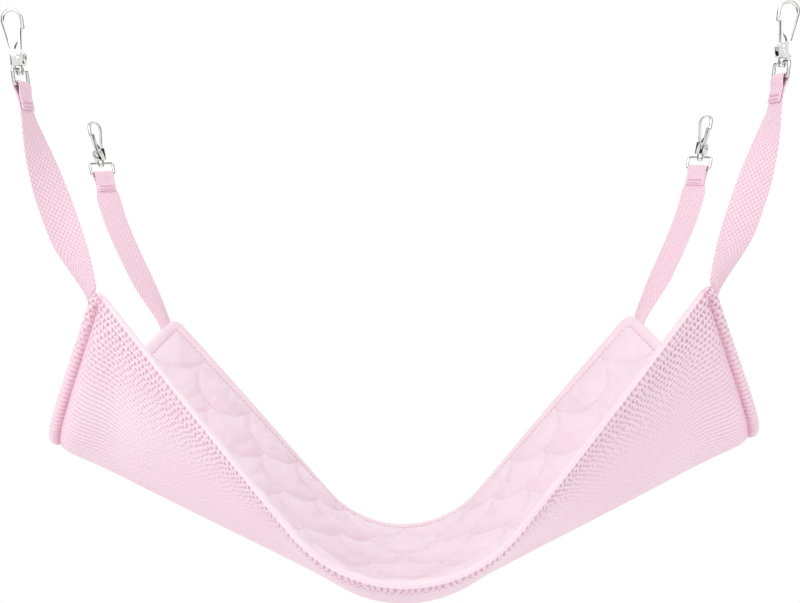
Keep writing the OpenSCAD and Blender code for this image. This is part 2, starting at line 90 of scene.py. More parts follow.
def clothShell(name, countU, countV):
    # a flat grid with two faces and a closed rim: the first half of its points is the upper face
    deselect()
    bpy.ops.mesh.primitive_grid_add(x_subdivisions=countU, y_subdivisions=countV, size=2, calc_uvs=True)
    piece = bpy.context.object
    piece.name = piece.data.name = name
    piece.data.uv_layers[0].name = "cut"
    wall = piece.modifiers.new("wall", "SOLIDIFY")
    wall.thickness = 0.1      # for now: setPoints then places both faces
    wall.offset = -1
    applyModifiers(piece)
    half = len(piece.data.vertices) // 2
    at = np.zeros(len(piece.data.vertices) * 3)
    piece.data.vertices.foreach_get("co", at)
    at = at.reshape(-1, 3)[:half]
    return piece, at[:, 0], at[:, 1]


def setPoints(piece, points):
    piece.data.vertices.foreach_set("co", (np.asarray(points) * mm).astype(np.float32).ravel())
    piece.data.update()


def setCut(piece, sizes):
    # the map holds the flat cut in millimetres, so patterns keep their real size
    corners = np.zeros(len(piece.data.loops), np.int32)
    piece.data.loops.foreach_get("vertex_index", corners)
    flat = np.concatenate([sizes, sizes])[corners]
    piece.data.uv_layers["cut"].data.foreach_set("uv", flat.astype(np.float32).ravel())


def smoothShade(piece, angle=None):
    pickOnly(piece)
    if angle is None:
        bpy.ops.object.shade_smooth()
    else:
        bpy.ops.object.shade_smooth_by_angle(angle=math.radians(angle))


def faceOutwards(piece):
    pickOnly(piece)
    bpy.ops.object.mode_set(mode="EDIT")
    bpy.ops.mesh.select_all(action="SELECT")
    bpy.ops.mesh.normals_make_consistent(inside=False)
    bpy.ops.object.mode_set(mode="OBJECT")


# materials: the cloth patterns lie on the flat cut in millimetres, the others on the object in metres

def colour(hexCode):
    channels = [int(hexCode[i:i + 2], 16) / 255 for i in (1, 3, 5)]
    return [c / 12.92 if c <= 0.04045 else ((c + 0.055) / 1.055) ** 2.4 for c in channels] + [1]


def newMaterial(name):
    material = bpy.data.materials.new(name)
    material.use_nodes = True
    material.node_tree.nodes.clear()
    return material, material.node_tree


def addNode(tree, kind, inputs=None, **settings):
    node = tree.nodes.new("ShaderNode" + kind)
    for key, value in settings.items():
        setattr(node, key, value)
    for socket, value in (inputs or {}).items():
        if isinstance(value, bpy.types.NodeSocket):
            tree.links.new(value, node.inputs[socket])
        else:
            node.inputs[socket].default_value = value
    return node.outputs[0] if node.outputs else None


def finishSurface(material, tree, inputs):
    shader = addNode(tree, "BsdfPrincipled", inputs)
    addNode(tree, "OutputMaterial", {"Surface": shader})
    return material


airMesh = {
    "holePitch": 3.9,                   # holes along a groove between two cords
    "wobble": 5.0, "wobbleSize": 9.09,  # the rows of holes wander by this much, over about this length
    "yarnSize": 1.11, "cloudSize": 50,
    # crest, groove, hole and valley colours hold painted light and shade: lit crests, shaded grooves, holes
    # and valley; the cloud is a random tone
    "crest": "#FFEBF3", "groove": "#F5CCDC", "hole": "#DCA9BF", "valley": "#F0B2CB", "cloud": "#F4CFDE",
    "cloudShare": 0.22, "crestWidth": 0.7, "hemCrestShade": 0.6, "openWider": 0.4, "yarnShare": 0.35,
    # how far the holes are open at distances from a long edge
    "open": [(0, 0.25), (1.5, 0.75), (3.5, 1), (14, 0.95), (34, 0.7), (80, 0.2)],
    # how strongly painted shade darkens the knit to a deeper pink, at distances from an end: strongest in
    # the stitched valley by the hem
    "hemShade": [(0, 0.25), (3, 0.2), (6, 0.6), (8, 1), (10, 0.65), (15, 0.2), (24, 0)],
}


def airMeshMaterial():
    # polyester spacer mesh, warp knitted: soft matt cords with a slight bloom, and small holes between them
    material, tree = newMaterial("ribbed air mesh")
    a = airMesh
    cut = addNode(tree, "UVMap", uv_map="cut")
    along, across = addNode(tree, "SeparateXYZ", {0: cut}).node.outputs[:2]
    ribPitch = pad["width"] / meshPanel["ribs"]
    turn = addNode(tree, "Math", {0: across, 1: math.pi / ribPitch}, operation="MULTIPLY")
    crest = addNode(tree, "Math", {0: turn}, operation="COSINE")
    crest = addNode(tree, "Math", {0: crest}, operation="ABSOLUTE")
    side = addNode(tree, "Math", {0: turn}, operation="SINE")
    shares = []
    for way, size, gaps in ((across, pad["width"], a["open"]), (along, pad["length"], a["hemShade"])):
        reach = gaps[-1][0]
        fromMiddle = addNode(tree, "Math", {0: way, 1: size / 2}, operation="SUBTRACT")
        fromMiddle = addNode(tree, "Math", {0: fromMiddle}, operation="ABSOLUTE")
        gap = addNode(tree, "Math", {0: fromMiddle, 1: -1 / reach, 2: size / 2 / reach},
                      operation="MULTIPLY_ADD", use_clamp=True)
        share = addNode(tree, "FloatCurve", {"Value": gap})
        curve = share.node.mapping.curves[0]
        curve.points[0].location, curve.points[1].location = (0, gaps[0][1]), (1, gaps[-1][1])
        for distance, value in gaps[1:-1]:
            curve.points.new(distance / reach, value)
        share.node.mapping.update()
        shares.append(share)
    opening, hemShade = shares
    wander = addNode(tree, "TexNoise", {"Vector": cut, "Scale": 1 / a["wobbleSize"], "Detail": 1.0})
    place = addNode(tree, "Math", {0: wander, 1: a["wobble"], 2: along}, operation="MULTIPLY_ADD")
    step = addNode(tree, "Math", {0: place, 1: 2 * math.pi / a["holePitch"]}, operation="MULTIPLY")
    wave = addNode(tree, "Math", {0: step}, operation="SINE")
    hole = addNode(tree, "Math", {0: wave, 1: side}, operation="MULTIPLY")
    # the holes are wider where the knit is open
    hole = addNode(tree, "Math", {0: opening, 1: a["openWider"], 2: hole}, operation="MULTIPLY_ADD")
    hole = addNode(tree, "MapRange", {"Value": hole, "From Min": 0.42, "From Max": 0.95},
                   interpolation_type="SMOOTHSTEP")
    hole = addNode(tree, "Math", {0: hole, 1: opening}, operation="MULTIPLY")
    yarn = addNode(tree, "TexNoise", {"Vector": cut, "Scale": 1 / a["yarnSize"], "Detail": 3.0})
    cloud = addNode(tree, "TexNoise", {"Vector": cut, "Scale": 1 / a["cloudSize"], "Detail": 1.0})
    crestMix = addNode(tree, "Math", {0: crest, 1: a["crestWidth"]}, operation="POWER")
    # in that painted shade, the cords lose part of their pale crest too
    pale = addNode(tree, "Math", {0: hemShade, 1: -a["hemCrestShade"], 2: 1.0}, operation="MULTIPLY_ADD")
    crestMix = addNode(tree, "Math", {0: crestMix, 1: pale}, operation="MULTIPLY")
    # the valley colour is painted shade: the grooves by each end's stitched valley are painted darker and
    # pinker
    groove = addNode(tree, "MixRGB", {0: hemShade, 1: colour(a["groove"]), 2: colour(a["valley"])})
    # the pale crest and darker groove colours are painted light and shade across each cord, over the cords'
    # relief and the bump
    base = addNode(tree, "MixRGB", {0: crestMix, 1: groove, 2: colour(a["crest"])})
    # the holes are painted darker: painted shade inside them, since they are drawn only in colour and bump
    base = addNode(tree, "MixRGB", {0: hole, 1: base, 2: colour(a["hole"])})
    tint = addNode(tree, "MapRange", {"Value": cloud, "From Min": 0.3, "From Max": 0.7,
                                      "To Max": a["cloudShare"]})
    base = addNode(tree, "MixRGB", {0: tint, 1: base, 2: colour(a["cloud"])})
    height = addNode(tree, "Math", {0: crest, 1: hole}, operation="SUBTRACT")
    height = addNode(tree, "Math", {0: yarn, 1: a["yarnShare"], 2: height}, operation="MULTIPLY_ADD")
    bump = addNode(tree, "Bump", {"Strength": 0.55, "Distance": 0.6 * mm, "Height": height})
    return finishSurface(material, tree, {"Base Color": base, "Roughness": 0.85, "Sheen Weight": 0.25,
                                          "Sheen Roughness": 0.5, "Normal": bump})


topFabric = {"grain": 1.1, "cloudSize": 33.3, "shade": "#F6DFE8", "light": "#FAE6EE"}


def quiltMaterial():
    # smooth woven polyester: matt, pale, with a faint grain of threads, drawn coarser so that it shows
    material, tree = newMaterial("quilted polyester")
    cut = addNode(tree, "UVMap", uv_map="cut")
    split = addNode(tree, "SeparateXYZ", {0: cut}).node.outputs
    threads = []
    for axis in (0, 1):
        step = addNode(tree, "Math", {0: split[axis], 1: 2 * math.pi / topFabric["grain"]},
                       operation="MULTIPLY")
        threads.append(addNode(tree, "Math", {0: step}, operation="SINE"))
    weave = addNode(tree, "Math", {0: threads[0], 1: threads[1]}, operation="MULTIPLY")
    cloud = addNode(tree, "TexNoise", {"Vector": cut, "Scale": 1 / topFabric["cloudSize"], "Detail": 2.0})
    tint = addNode(tree, "MapRange", {"Value": cloud, "From Min": 0.3, "From Max": 0.7})
    base = addNode(tree, "MixRGB", {0: tint, 1: colour(topFabric["shade"]), 2: colour(topFabric["light"])})
    bump = addNode(tree, "Bump", {"Strength": 0.12, "Distance": 0.3 * mm, "Height": weave})
    return finishSurface(material, tree, {"Base Color": base, "Roughness": 0.7, "Sheen Weight": 0.2,
                                          "Sheen Roughness": 0.4, "Normal": bump})


# gap: painted shade between the yarn beads
webbingYarn = {"gap": "#EBC0D1", "bead": "#FADFE9", "yarnSize": 0.625, "yarnShare": 0.5}


def webbingMaterial():
    # plain-woven polyester webbing: each yarn crossing is a light bead, and the gap around it is painted
    # darker, as painted shade
    material, tree = newMaterial("woven webbing")
    w = webbingYarn
    cut = addNode(tree, "UVMap", uv_map="cut")
    split = addNode(tree, "SeparateXYZ", {0: cut}).node.outputs
    turn = addNode(tree, "Math", {0: split[0], 1: math.pi / strap["beadL"]}, operation="MULTIPLY")
    half = addNode(tree, "Math", {0: split[1], 1: math.pi / beadW}, operation="MULTIPLY")
    waves = []
    for way in ("ADD", "SUBTRACT"):
        slant = addNode(tree, "Math", {0: turn, 1: half}, operation=way)
        waves.append(addNode(tree, "Math", {0: slant}, operation="SINE"))
    beads = addNode(tree, "Math", {0: waves[0], 1: waves[1]}, operation="MULTIPLY")
    beads = addNode(tree, "Math", {0: beads}, operation="ABSOLUTE")
    bead = addNode(tree, "MapRange", {"Value": beads, "From Min": 0.02, "From Max": 0.45})
    yarn = addNode(tree, "TexNoise", {"Vector": cut, "Scale": 1 / w["yarnSize"], "Detail": 2.0})
    # the gap colour is painted shade between the beads, over their bump and relief
    base = addNode(tree, "MixRGB", {0: bead, 1: colour(w["gap"]), 2: colour(w["bead"])})
    height = addNode(tree, "Math", {0: yarn, 1: w["yarnShare"], 2: beads}, operation="MULTIPLY_ADD")
    bump = addNode(tree, "Bump", {"Strength": 0.4, "Distance": 0.4 * mm, "Height": height})
    return finishSurface(material, tree, {"Base Color": base, "Roughness": 0.75, "Sheen Weight": 0.2,
                                          "Sheen Roughness": 0.4, "Normal": bump})


spunThread = {"fleckSize": 1.11, "dark": "#DDB2C4", "light": "#EDC9D7"}


def threadMaterial():
    # spun polyester thread, slightly glossy, with a twist finer than shows
    material, tree = newMaterial("sewing thread")
    t = spunThread
    place = addNode(tree, "TexCoord").node.outputs["Object"]
    fleck = addNode(tree, "TexNoise", {"Vector": place, "Scale": 1 / (t["fleckSize"] * mm), "Detail": 2.0})
    base = addNode(tree, "MixRGB", {0: fleck, 1: colour(t["dark"]), 2: colour(t["light"])})
    return finishSurface(material, tree, {"Base Color": base, "Roughness": 0.55, "Sheen Weight": 0.15})


fibreFill = {"tuftSize": 2.5, "shade": "#F0ECEA", "light": "#FBFAF9"}


def waddingMaterial():
    # polyester fibre wadding: white, fluffy, fully matt
    material, tree = newMaterial("polyester wadding")
    f = fibreFill
    place = addNode(tree, "TexCoord").node.outputs["Object"]
    fibre = addNode(tree, "TexNoise", {"Vector": place, "Scale": 1 / (f["tuftSize"] * mm), "Detail": 4.0})
    base = addNode(tree, "MixRGB", {0: fibre, 1: colour(f["shade"]), 2: colour(f["light"])})
    bump = addNode(tree, "Bump", {"Strength": 0.5, "Distance": 1 * mm, "Height": fibre})
    return finishSurface(material, tree, {"Base Color": base, "Roughness": 1.0, "Normal": bump})


nickelPlate = {"rippleSize": 3.85, "wearSize": 1.11, "dull": "#D6D6D6", "bright": "#EEEDEC"}


def nickelMaterial():
    # polished nickel plate on die-cast zinc: bright, a little uneven, with faint handling marks
    material, tree = newMaterial("polished nickel")
    n = nickelPlate
    place = addNode(tree, "TexCoord").node.outputs["Object"]
    rippleScale, wearScale = 1 / (n["rippleSize"] * mm), 1 / (n["wearSize"] * mm)
    ripple = addNode(tree, "TexNoise", {"Vector": place, "Scale": rippleScale, "Detail": 2.0})
    wear = addNode(tree, "TexNoise", {"Vector": place, "Scale": wearScale, "Detail": 3.0})
    rough = addNode(tree, "MapRange", {"Value": wear, "To Min": 0.06, "To Max": 0.2})
    bump = addNode(tree, "Bump", {"Strength": 0.12, "Distance": 0.4 * mm, "Height": ripple})
    base = addNode(tree, "MixRGB", {0: wear, 1: colour(n["dull"]), 2: colour(n["bright"])})
    return finishSurface(material, tree, {"Base Color": base, "Metallic": 1.0, "Roughness": rough,
                                          "Normal": bump})


springSteel = {"grainSize": 0.833, "grey": "#9DA0A5"}


def springMaterial():
    # rolled spring steel, bare: grey, with a fine uneven gloss
    material, tree = newMaterial("spring steel")
    s = springSteel
    place = addNode(tree, "TexCoord").node.outputs["Object"]
    grain = addNode(tree, "TexNoise", {"Vector": place, "Scale": 1 / (s["grainSize"] * mm), "Detail": 2.0})
    rough = addNode(tree, "MapRange", {"Value": grain, "To Min": 0.25, "To Max": 0.45})
    return finishSurface(material, tree, {"Base Color": colour(s["grey"]), "Metallic": 1.0,
                                          "Roughness": rough})


# the pad's hang, as the solids have it

pad = {
    "length": 540, "width": 346, "meshT": 3,
    "centreSlope": 26, "edgeSlope": 50, "bottomR": 84, "edgeLift": 30,
    "cornerGap": 264, "edgeDraw": 10, "endDraw": 4, "valleyRound": 0.25,
    "hem": 8, "pucker": 5, "crown": 22, "cornerR": 11, "strapV": 158, "seamGap": 0.75,
    "bottomZ": 0,             # set below, from the height of the straps' seam
}
halfL, halfW = pad["length"] / 2, pad["width"] / 2


def padShape(u, v):
    # a round bottom and two slopes that get steeper towards the long edges
    b = pad["valleyRound"]
    rise = (np.sqrt((v / halfW) ** 2 + b * b) - b) / (math.hypot(1, b) - b)
    draw = pad["edgeDraw"] * rise + 4 * pad["endDraw"] * rise * (1 - rise)
    run = np.abs(u) * (1 - draw / halfL)
    slope = np.radians(pad["centreSlope"] + (pad["edgeSlope"] - pad["centreSlope"]) * rise)
    r = pad["bottomR"]
    arc = np.minimum(run, r * slope)
    x = np.sign(u) * (r * np.sin(arc / r) + (run - arc) * np.cos(slope))
    y = v * (1 - (1 - pad["cornerGap"] / pad["width"]) * (u / halfL) ** 2)
    z = r * (1 - np.cos(arc / r)) + (run - arc) * np.sin(slope) + pad["edgeLift"] * rise
    return np.stack([x, y, z + pad["bottomZ"]], -1)


def padAlong(u, v, step=0.05):
    return unit(padShape(u + step, v) - padShape(u - step, v))


def seamOverBottom():
    u, v = np.array([halfL]), np.array([pad["strapV"]])
    return (padShape(u, v) + padAlong(u, v) * pad["seamGap"])[0, 2]


pad["bottomZ"] = joints["front_left_strap_swing"]["pos_m"][2] / mm - seamOverBottom()


def padNormal(u, v, step=0.05):
    across = padShape(u, v + step) - padShape(u, v - step)
    return unit(np.cross(padAlong(u, v), across))


def offPad(u, v, height):
    return padShape(u, v) + padNormal(u, v) * np.asarray(height)[:, None]


def roundCorners(u, v):
    r = pad["cornerR"]
    cu = np.clip((np.abs(u) - halfL + r) / r, 0, None)
    cv = np.clip((np.abs(v) - halfW + r) / r, 0, None)
    ru = np.where(cu > 0, np.sign(u) * (halfL - r + r * cu * np.sqrt(1 - cv * cv / 2)), u)
    rv = np.where(cv > 0, np.sign(v) * (halfW - r + r * cv * np.sqrt(1 - cu * cu / 2)), v)
    return ru, rv


def edgeGap(u, v):
    # distance to the rounded outline
    ru, rv = roundCorners(u, v)
    r = pad["cornerR"]
    a, b = np.abs(ru) - halfL + r, np.abs(rv) - halfW + r
    return np.where((a > 0) & (b > 0), r - np.hypot(a, b), np.minimum(r - a, r - b))


def gridLines(s, count, half, gaps):
    # lines at the given distances from both edges, and evenly spaced between them
    edge = half - np.array(gaps)
    between = np.linspace(-edge[-1], edge[-1], count + 3 - 2 * len(edge))
    lines = np.concatenate([-edge[:-1], between, edge[:-1][::-1]])
    return lines[np.rint((s + 1) / 2 * count).astype(int)]


# mesh panel: cords along the pad, rolled hem with a stitched valley

meshPanel = {
    "countU": 104, "perRib": 6, "ribs": 78,
    # lines across the cords, at distances from an end
    "endLines": [0, 0.15, 0.6, 1.2, 2, 3, 4, 5, 6, 6.8, 7.4, 8, 8.6, 9.4, 10.5,
                 12, 14, 16.5, 19.5, 23, 27, 32],
    # thickness at distances from an end and from a long edge, in shares of the cloth's
    "gaps": [0, 0.4, 1, 2.5, 4.5, 6.5, 8, 9.5, 11, 16],
    "endRoll": [0.3, 0.65, 0.9, 1.2, 1.25, 0.95, 0.3, 0.75, 1.0, 1.2],
    "sideRoll": [0.3, 0.5, 0.7, 0.95, 1.0, 0.95, 0.75, 0.9, 1.0, 1.2],
    # height of the cords at distances from an end
    "ribGaps": [0, 2, 5, 8, 12, 22], "ribHeights": [0.5, 1.6, 1.9, 1.0, 1.3, 0.8],
    "ribRound": 0.6, "ribEdge": (0.8, 2.5),          # where the cords begin at a long edge
    "pillowAt": 19, "pillowW": 13, "pillowH": 2.8,   # each end swells outwards beside its hem
    "creaseAt": 52, "creaseW": 15, "creaseH": 2.3, "creaseSlant": 0.12,
    "rippleH": 0.6, "rippleA": (31, 47), "rippleB": (-83, 29),
    # the swell, crease and ripples fade towards the ends, the long edges and the middle line
    "calmEnd": (8, 8), "calmSide": (6, 40), "calmMiddle": (-10, 60),
    "leastT": 0.3,
}


def makeMeshPanel():
    m = meshPanel
    piece, s, t = clothShell("meshPanel", m["countU"], m["ribs"] * m["perRib"])
    u, v = gridLines(s, m["countU"], halfL, m["endLines"]), t * halfW
    ru, rv = roundCorners(u, v)
    endGap, sideGap, gap = halfL - np.abs(ru), halfW - np.abs(rv), edgeGap(u, v)
    # the end's profile goes over into the long edge's round each corner
    r = pad["cornerR"]
    turn = np.arctan2(np.maximum(r - sideGap, 0), np.maximum(r - endGap, 0)) / (np.pi / 2)
    endRoll, sideRoll = (np.interp(gap, m["gaps"], m[edge]) for edge in ("endRoll", "sideRoll"))
    roll = (1 - turn) * endRoll + turn * sideRoll
    rib = np.abs(np.cos(np.pi * (v + halfW) / pad["width"] * m["ribs"])) ** m["ribRound"]
    ribH = np.interp(endGap, m["ribGaps"], m["ribHeights"]) * fade(gap + r * (1 - turn), *m["ribEdge"])
    inside = fade(endGap, *m["calmEnd"]) * fade(sideGap, *m["calmSide"]) * fade(np.abs(v), *m["calmMiddle"])
    pillow = m["pillowH"] * np.exp(-((endGap - m["pillowAt"]) / m["pillowW"]) ** 2)
    crease = m["creaseH"] * np.exp(-((endGap - m["creaseAt"] - m["creaseSlant"] * v) / m["creaseW"]) ** 2)
    waves = [np.sin(u / lengthU + v / lengthV) for lengthU, lengthV in (m["rippleA"], m["rippleB"])]
    ripple = m["rippleH"] * waves[0] * waves[1]
    drop = pad["meshT"] * roll - ribH * (1 - rib) + (pillow - crease + ripple) * inside
    under = offPad(ru, rv, -np.maximum(drop, m["leastT"]))
    setPoints(piece, np.concatenate([offPad(ru, rv, 0 * u), under]))
    setCut(piece, np.stack([u + halfL, v + halfW], -1))
    smoothShade(piece)
    piece.data.materials.append(airMeshMaterial())
    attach(piece, "pad")
    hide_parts("mesh_panel")
    print("mesh panel:", len(piece.data.polygons), "faces")
    return piece


# quilting: overlapping arcs in rows along the pad, each hanging from the row behind it

quilt = {
    "scales": 9, "rows": 10,                  # inside the pucker, as in the solids
    "arcPoints": 90, "fewestPoints": 4,
    "waddingT": 4, "sewnT": 0.8, "puffReach": 6.5, "layerGap": 0.1,
    "crownShares": [0.1, 0.55, 1],            # of the puff, at the hem, at the pucker's end and further in
    "countU": 252, "countV": 170, "clothT": 0.7, "leastH": 0.15,
    # height of the fabric at distances from the edge, over the hem
    "hemGaps": [0, 1, 2.5, 4.5, 6.5, 8], "hemHeights": [0.6, 1.6, 2.3, 2.3, 1.8, 0.9],
    # the fabric rolls over the hem and covers the raw edge of the mesh
    "rimOut": 0.5, "rimDown": 1.0, "rimUp": 0.6, "rimR": 1.4, "rimLeast": 0.03,
    "edgeLines": [0, 0.08, 0.3, 0.65, 1.1, 1.6, 2.3, 3.2, 4.2, 5.2, 6.2, 7, 7.6, 8, 8.5, 9.3, 10.5, 12],
    "stitchL": 2.5, "stitchGap": 1.0, "thread": 0.5, "threadRise": 0.1,
}
inset = pad["hem"] + pad["pucker"]
scaleW = (pad["length"] - 2 * inset) / quilt["scales"]
scaleD = (pad["width"] - 2 * inset) / quilt["rows"]


def quiltArcs():
    # points along every arc inside the hem, in the flat pad; the first row hangs from the topstitch
    inU, inV = halfL - pad["hem"], halfW - pad["hem"]
    arcs = []
    angle = np.linspace(0, np.pi, quilt["arcPoints"])
    for row in range(quilt["rows"]):
        upper = inV if row == 0 else halfW - inset - scaleD * row
        lower = halfW - inset - scaleD * (row + 1)
        for i in range(-1, quilt["scales"] + 2):
            middle = scaleW * (i - (row % 2) / 2) - halfL + inset
            u = middle - scaleW / 2 * np.cos(angle)
            v = upper - (upper - lower) * np.sin(angle)
            inside = (np.abs(u) < inU) & (np.abs(v) < inV)
            if inside.sum() > quilt["fewestPoints"]:
                arcs.append((u[inside], v[inside]))
    return arcs


def quiltHeights(u, v, arcs):
    # height of the wadding over the seam surface: pressed down on the stitch lines, full between them
    q = quilt
    tree = KDTree(sum(len(a[0]) for a in arcs))
    k = 0
    for arcU, arcV in arcs:
        for a, b in zip(arcU, arcV):
            tree.insert((a, b, 0), k)
            k += 1
    tree.balance()
    near = np.array([tree.find((a, b, 0))[2] for a, b in zip(u, v)])
    gap = edgeGap(u, v)
    near = np.minimum(near, np.abs(gap - pad["hem"]))
    crown = np.interp(gap, [pad["hem"], inset, pad["hem"] + pad["crown"]], q["crownShares"])
    thick = q["sewnT"] + (q["waddingT"] - q["sewnT"]) * (1 - np.exp(-near / q["puffReach"]))
    return q["layerGap"] + thick * crown, near


def topHeights(u, v, arcs):
    # the top fabric lies on the wadding and rolls over at the hem
    wadding, near = quiltHeights(u, v, arcs)
    gap = edgeGap(u, v)
    roll = np.interp(gap, quilt["hemGaps"], quilt["hemHeights"])
    return np.where(gap < pad["hem"], roll, wadding + quilt["clothT"] + quilt["layerGap"]), near


swell = {
    "pressure": 4, "slack": 0.03, "frames": 20, "quality": 5,
    "mass": 0.02, "bending": 0.02, "stretch": 8, "shear": 3,
    "heldW": 3.0, "holdLevels": 10,   # the cloth is held near a stitch line, less and less in so many steps
    "cap": 1.6,
}


def settleCloth(points, countU, countV, held):
    # cloth under pressure, held along its stitch lines, swells and wrinkles between them
    deselect()
    bpy.ops.mesh.primitive_grid_add(x_subdivisions=countU, y_subdivisions=countV, size=2)
    sheet = bpy.context.object
    setPoints(sheet, points)
    group = sheet.vertex_groups.new(name="sewn")
    levels = swell["holdLevels"]
    for level in range(1, levels + 1):
        group.add(np.flatnonzero(np.rint(held * levels) == level).tolist(), level / levels, "REPLACE")
    cloth = sheet.modifiers.new("cloth", "CLOTH")
    cloth.point_cache.frame_start, cloth.point_cache.frame_end = 1, swell["frames"]
    c = cloth.settings
    c.quality, c.mass, c.bending_stiffness = swell["quality"], swell["mass"], swell["bending"]
    c.tension_stiffness = c.compression_stiffness = swell["stretch"]
    c.shear_stiffness = swell["shear"]
    c.vertex_group_mass, c.pin_stiffness = "sewn", 1
    c.use_pressure, c.uniform_pressure_force = True, swell["pressure"]
    c.shrink_min = -swell["slack"]
    c.effector_weights.gravity = 0
    scene = bpy.context.scene
    for f in range(1, swell["frames"] + 1):
        scene.frame_set(f)
    bpy.context.view_layer.update()
    solved = sheet.evaluated_get(bpy.context.evaluated_depsgraph_get())
    after = np.zeros(len(points) * 3)
    solved.data.vertices.foreach_get("co", after)
    bpy.data.objects.remove(sheet)
    scene.frame_set(1)
    move = after.reshape(-1, 3) / mm - points
    length = np.linalg.norm(move, axis=1, keepdims=True)
    print("cloth moved by", np.round(np.percentile(length, [50, 90, 100]), 2), "mm")
    return move * np.minimum(1, swell["cap"] / np.maximum(length, 1e-6))


def makeQuiltedPanel(arcs):
    q = quilt
    piece, s, t = clothShell("quiltedPanel", q["countU"], q["countV"])
    u = gridLines(s, q["countU"], halfL, q["edgeLines"])
    v = gridLines(t, q["countV"], halfW, q["edgeLines"])
    top, near = topHeights(u, v, arcs)
    gap = edgeGap(u, v)
    ru, rv = roundCorners(u, v)
    rim = smooth(1 - gap / (2 * q["rimR"]))
    ru, rv = ru * (1 + q["rimOut"] / halfL * rim), rv * (1 + q["rimOut"] / halfW * rim)
    under = np.maximum(top - q["clothT"], q["leastH"]) - q["rimDown"] * rim
    # a round edge: both faces close to the middle of the rim
    share = np.sqrt(np.clip(1 - (1 - gap / q["rimR"]) ** 2, q["rimLeast"] ** 2, 1))
    share = np.where(gap > q["rimR"], 1, share)
    middle = (q["rimUp"] - q["rimDown"]) / 2
    top, under = middle + (top - middle) * share, middle + (under - middle) * share
    upper, lower = offPad(ru, rv, top), offPad(ru, rv, under)
    held = np.where(gap < inset, 1, smooth(1 - near / swell["heldW"]))
    move = settleCloth(upper, q["countU"], q["countV"], held)
    normal = padNormal(u, v)
    inward = np.minimum(np.sum(move * normal, -1), 0)      # the wadding stops it on the way in
    move = move - normal * inward[:, None]
    upper, lower = upper + move, lower + move
    setPoints(piece, np.concatenate([upper, lower]))
    setCut(piece, np.stack([u + halfL, v + halfW], -1))
    smoothShade(piece)
    piece.data.materials.append(quiltMaterial())
    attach(piece, "pad")
    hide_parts("quilted_panel")
    print("quilted panel:", len(piece.data.polygons), "faces,", len(arcs), "arcs")
    return piece


filling = {"countU": 150, "countV": 100, "hemGap": 0.5}


def makeWadding(arcs):
    countU, countV = filling["countU"], filling["countV"]
    piece, s, t = clothShell("waddingSheet", countU, countV)
    short = pad["hem"] + filling["hemGap"]
    u, v = s * (halfL - short), t * (halfW - short)
    top = quiltHeights(u, v, arcs)[0]
    # each point keeps below its neighbours, so that no face rises through the fabric at a stitch line
    lines = np.pad(top.reshape(countV + 1, countU + 1), 1, mode="edge")
    around = [lines[a:a + countV + 1, b:b + countU + 1] for a in range(3) for b in range(3)]
    top = np.min(around, 0).ravel()
    setPoints(piece, np.concatenate([offPad(u, v, top), offPad(u, v, 0 * u + quilt["layerGap"] / 2)]))
    setCut(piece, np.stack([u + halfL, v + halfW], -1))
    smoothShade(piece)
    piece.data.materials.append(waddingMaterial())
    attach(piece, "pad")
    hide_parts("wadding")
    print("wadding:", len(piece.data.polygons), "faces")
    return piece


# stitches: one short thread, copied along a line

def oneStitch():
    deselect()
    bpy.ops.mesh.primitive_uv_sphere_add(segments=6, ring_count=5, radius=0.5)
    seed = bpy.context.object
    points = np.array([v.co for v in seed.data.vertices])
    faces = [list(p.vertices) for p in seed.data.polygons]
    bpy.data.objects.remove(seed)
    return points, faces


def makeStitches(name, places, travels, ups, length, thread):
    # an oval thread at each place, along its travel and flat on the cloth
    points, faces = oneStitch()
    travels, ups = unit(travels), unit(ups)
    sides = unit(np.cross(travels, ups))
    cloud = (places[:, None, :] + points[None, :, 2:3] * length * travels[:, None, :]
             + points[None, :, 0:1] * thread * sides[:, None, :]
             + points[None, :, 1:2] * thread * ups[:, None, :]).reshape(-1, 3)
    allFaces = [[i + k * len(points) for i in face] for k in range(len(places)) for face in faces]
    mesh = bpy.data.meshes.new(name)
    mesh.from_pydata((cloud * mm).tolist(), [], allFaces)
    piece = bpy.data.objects.new(name, mesh)
    bpy.context.scene.collection.objects.link(piece)
    faceOutwards(piece)
    smoothShade(piece)
    piece.data.materials.append(sewingThread)
    return piece


def alongLine(u, v, pitch, look=0.2):
    # even places along a flat line, with its direction there
    steps = np.concatenate([[0], np.cumsum(np.hypot(np.diff(u), np.diff(v)))])
    at = np.arange(pitch / 2, steps[-1], pitch)
    pu, pv = np.interp(at, steps, u), np.interp(at, steps, v)
    ahead, back = np.minimum(at + look, steps[-1]), np.maximum(at - look, 0)
    du, dv = (np.interp(ahead, steps, way) - np.interp(back, steps, way) for way in (u, v))
    return pu, pv, du, dv


def onPadLine(lines, pitch, heightOf):
    # places, directions and normals of stitches along lines drawn on the flat pad
    places, travels, ups = [], [], []
    for lineU, lineV in lines:
        u, v, du, dv = alongLine(lineU, lineV, pitch)
        if len(u) == 0:
            continue
        places.append(offPad(u, v, heightOf(u, v)))
        travels.append(padShape(u + du, v + dv) - padShape(u, v))
        ups.append(padNormal(u, v))
    return np.concatenate(places), np.concatenate(travels), np.concatenate(ups)


def makeQuiltStitches(arcs):
    q = quilt

    def onTop(u, v):
        return topHeights(u, v, arcs)[0] + q["threadRise"]

    places, travels, ups = onPadLine(arcs, q["stitchL"] + q["stitchGap"], onTop)
    piece = makeStitches("quiltStitching", places, travels, ups, q["stitchL"], q["thread"])
    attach(piece, "pad")
    print("quilting:", len(places), "stitches")


hemStitch = {
    "length": 3.0, "gap": 1.0, "thread": 0.7, "cornerR": 4, "cornerPoints": 9,
    "heights": {"topHemStitching": 1.2, "underHemStitching": -1.15},   # over the seam surface of the pad
}


